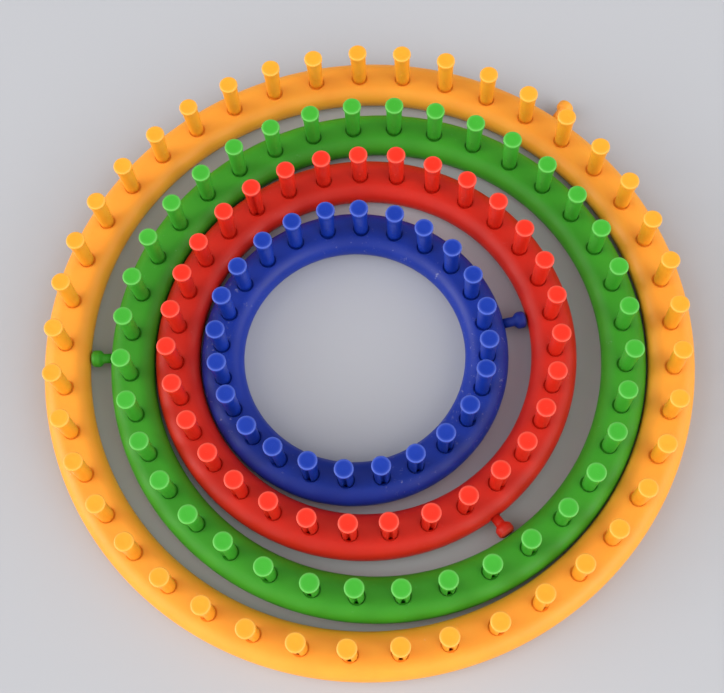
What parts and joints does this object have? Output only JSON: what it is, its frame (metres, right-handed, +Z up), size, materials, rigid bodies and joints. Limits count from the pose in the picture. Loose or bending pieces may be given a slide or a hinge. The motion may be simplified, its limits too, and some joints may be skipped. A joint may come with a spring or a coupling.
{
  "type": "round knitting loom set",
  "caption": "Nested set of round knitting looms: moulded rings with upright grooved pegs in their tops and one level anchor peg in each outer wall.",
  "frame": {"origin": "middle of the largest loom, on the plane that the set rests on", "axes": "+Z up, along the axes of the looms; +X to the right and +Y away from the viewer in the picture"},
  "size_m": [0.29, 0.29, 0.0342],
  "materials": {
    "yellow_plastic": "satin moulded",
    "green_plastic": "satin moulded",
    "red_plastic": "satin moulded",
    "blue_plastic": "satin moulded"
  },
  "bodies": {
    "yellow_loom": {"yellow_ring": "yellow_plastic", "yellow_anchor_peg": "yellow_plastic", "yellow_pegs_01_03": "yellow_plastic", "yellow_pegs_04_06": "yellow_plastic", "yellow_pegs_07_09": "yellow_plastic", "yellow_pegs_10_12": "yellow_plastic", "yellow_pegs_13_15": "yellow_plastic", "yellow_pegs_16_18": "yellow_plastic", "yellow_pegs_19_21": "yellow_plastic", "yellow_pegs_22_24": "yellow_plastic", "yellow_pegs_25_27": "yellow_plastic", "yellow_pegs_28_30": "yellow_plastic", "yellow_pegs_31_33": "yellow_plastic", "yellow_pegs_34_36": "yellow_plastic", "yellow_pegs_37_39": "yellow_plastic", "yellow_pegs_40_41": "yellow_plastic"},
    "green_loom": {"green_ring": "green_plastic", "green_anchor_peg": "green_plastic", "green_pegs_01_03": "green_plastic", "green_pegs_04_06": "green_plastic", "green_pegs_07_09": "green_plastic", "green_pegs_10_12": "green_plastic", "green_pegs_13_15": "green_plastic", "green_pegs_16_18": "green_plastic", "green_pegs_19_21": "green_plastic", "green_pegs_22_24": "green_plastic", "green_pegs_25_27": "green_plastic", "green_pegs_28_30": "green_plastic", "green_pegs_31_33": "green_plastic", "green_pegs_34_36": "green_plastic"},
    "red_loom": {"red_ring": "red_plastic", "red_anchor_peg": "red_plastic", "red_pegs_01_03": "red_plastic", "red_pegs_04_06": "red_plastic", "red_pegs_07_09": "red_plastic", "red_pegs_10_12": "red_plastic", "red_pegs_13_15": "red_plastic", "red_pegs_16_18": "red_plastic", "red_pegs_19_21": "red_plastic", "red_pegs_22_24": "red_plastic", "red_pegs_25_27": "red_plastic", "red_pegs_28_30": "red_plastic", "red_pegs_31_31": "red_plastic"},
    "blue_loom": {"blue_ring": "blue_plastic", "blue_anchor_peg": "blue_plastic", "blue_pegs_01_03": "blue_plastic", "blue_pegs_04_06": "blue_plastic", "blue_pegs_07_09": "blue_plastic", "blue_pegs_10_12": "blue_plastic", "blue_pegs_13_15": "blue_plastic", "blue_pegs_16_18": "blue_plastic", "blue_pegs_19_21": "blue_plastic", "blue_pegs_22_24": "blue_plastic"}
  },
  "joints": [
    {"name": "green_lift", "type": "slide", "parent": "yellow_loom", "child": "green_loom", "axis": [0, 0, 1], "range_m": [0, 0.06]},
    {"name": "red_lift", "type": "slide", "parent": "yellow_loom", "child": "red_loom", "axis": [0, 0, 1], "range_m": [0, 0.065]},
    {"name": "blue_lift", "type": "slide", "parent": "yellow_loom", "child": "blue_loom", "axis": [0, 0, 1], "range_m": [0, 0.07]}
  ]
}
